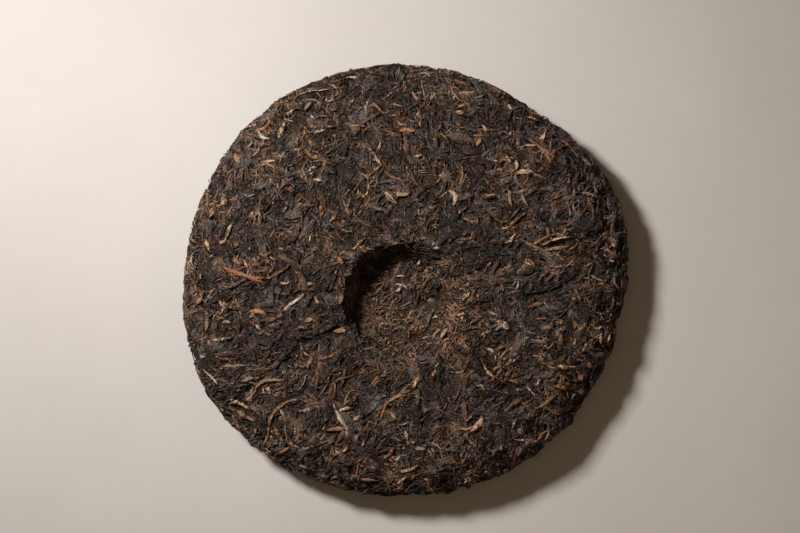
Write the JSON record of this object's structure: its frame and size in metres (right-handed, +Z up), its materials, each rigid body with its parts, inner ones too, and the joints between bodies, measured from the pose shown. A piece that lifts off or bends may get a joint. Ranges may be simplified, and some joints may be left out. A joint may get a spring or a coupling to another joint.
{
  "type": "pressed tea cake",
  "caption": "Raw pu-erh tea cake: a disc of pressed dark tea leaves with a round dimple in its back, lying dimple up.",
  "frame": {"origin": "under the middle of the cake, on the surface that it lies on", "axes": "+Z up out of the dimpled back, +X towards the picture's right and +Y towards its top"},
  "size_m": [0.1984, 0.1924, 0.0249],
  "materials": {
    "pressed_tea": "matte dry leaf with a dull sheen, near-black brown with tan tips"
  },
  "bodies": {
    "root": {"tea_cake": "pressed_tea"}
  },
  "joints": []
}
